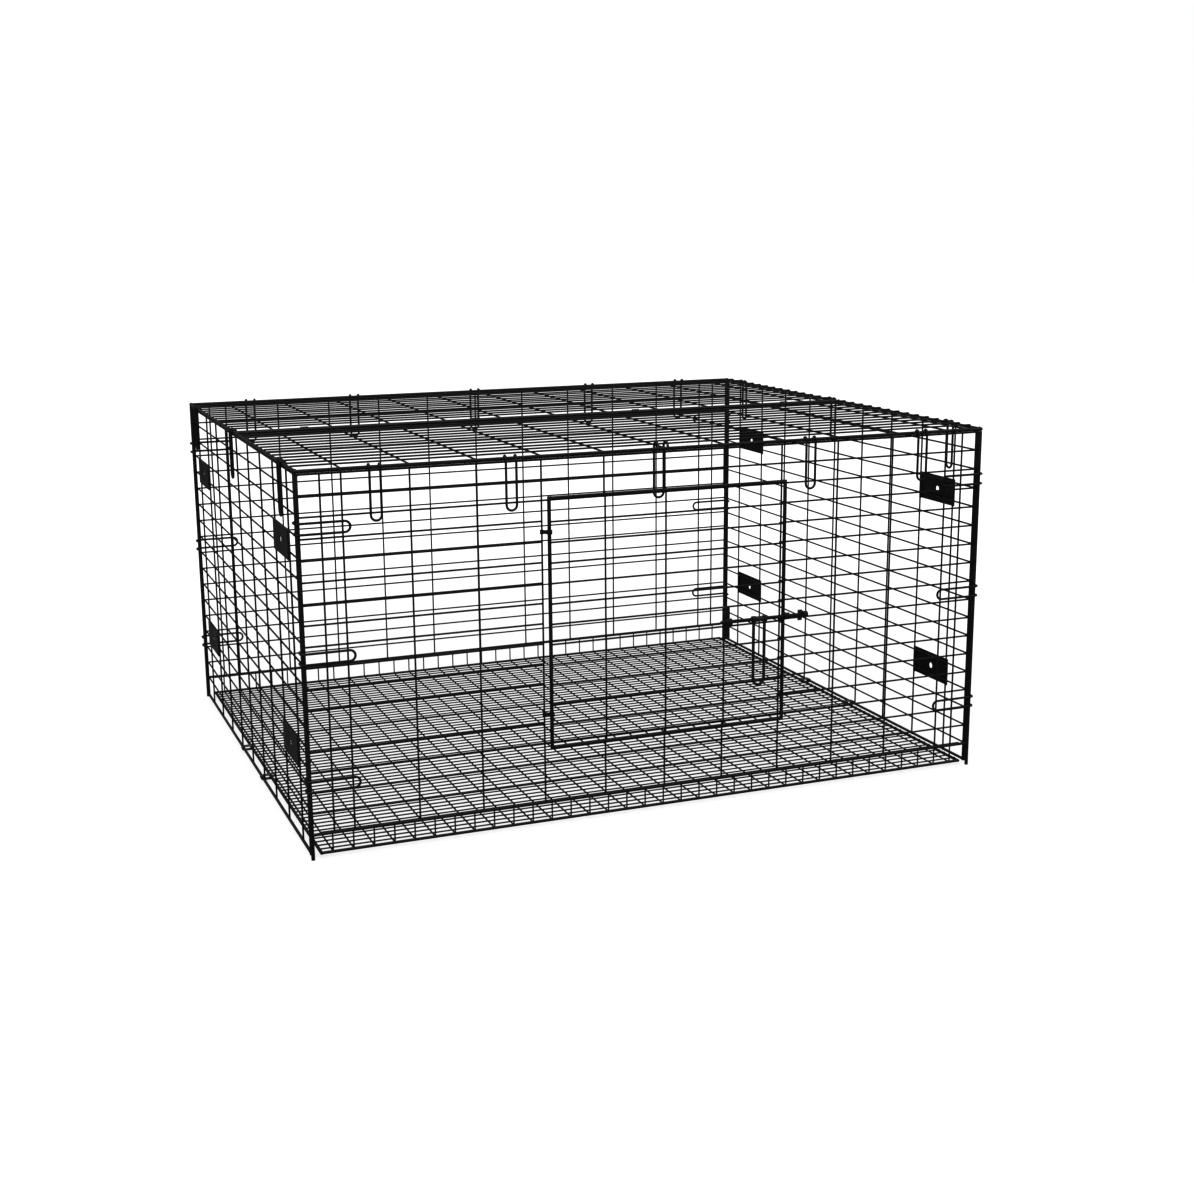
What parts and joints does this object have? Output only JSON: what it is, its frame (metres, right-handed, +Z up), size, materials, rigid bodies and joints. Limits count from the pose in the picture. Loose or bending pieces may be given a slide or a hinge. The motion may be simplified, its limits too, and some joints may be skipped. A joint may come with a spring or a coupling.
{
  "type": "kennel cage",
  "caption": "Free-standing welded-wire kennel cage with a front swing door, slide-bolt latch, hinged front roof half and turned-up floor grid.",
  "frame": {"origin": "centre of the overall box in plan, latch and hook loops included, on the plane the feet stand on; the middle of the four corner posts is 5.7 mm further toward the back wall", "axes": "+Z up; -Y is the wall with the door; +X is to the right of a person facing the door"},
  "size_m": [0.9252, 0.7842, 0.4756],
  "materials": {
    "coated_wire": "satin",
    "coated_floor_wire": "satin",
    "coated_sheet": "satin",
    "coated_latch": "satin"
  },
  "bodies": {
    "cage_frame": {"front_panel": "coated_wire", "back_panel": "coated_wire", "left_side_panel": "coated_wire", "right_side_panel": "coated_wire", "roof_rear_panel": "coated_wire", "lid_hinge_rings": "coated_sheet", "floor_grid": "coated_floor_wire", "floor_clips": "coated_sheet", "door_hinge_upper": "coated_sheet", "door_hinge_lower": "coated_sheet", "latch_keeper": "coated_sheet", "roof_back_hooks": "coated_wire", "roof_side_hooks": "coated_wire", "corner_hooks_front_left": "coated_wire", "corner_hooks_front_right": "coated_wire", "corner_hooks_back_left": "coated_wire", "corner_hooks_back_right": "coated_wire", "connector_plates_left": "coated_sheet", "connector_plates_right": "coated_sheet"},
    "roof_lid": {"roof_front_lid": "coated_wire", "lid_front_hooks": "coated_wire", "lid_side_hooks": "coated_wire"},
    "door": {"door_panel": "coated_wire", "latch_inner_guide": "coated_sheet", "latch_edge_guide": "coated_sheet"},
    "bolt": {"latch_bolt": "coated_latch"},
    "handle": {"latch_handle": "coated_latch"}
  },
  "joints": [
    {"name": "door_hinge", "type": "hinge", "parent": "cage_frame", "child": "door", "pos_m": [-0.154, -0.3789, 0.25925], "axis": [0, 0, -1], "range_deg": [0, 170]},
    {"name": "bolt_slide", "type": "slide", "parent": "door", "child": "bolt", "axis": [1, 0, 0], "range_m": [0, 0.011]},
    {"name": "handle_swing", "type": "hinge", "parent": "bolt", "child": "handle", "pos_m": [0.126, -0.3877, 0.242], "axis": [-1, 0, 0], "range_deg": [0, 170]},
    {"name": "lid_hinge", "type": "hinge", "parent": "cage_frame", "child": "roof_lid", "pos_m": [0, 0.0017, 0.466], "axis": [-1, 0, 0], "range_deg": [0, 120]}
  ]
}
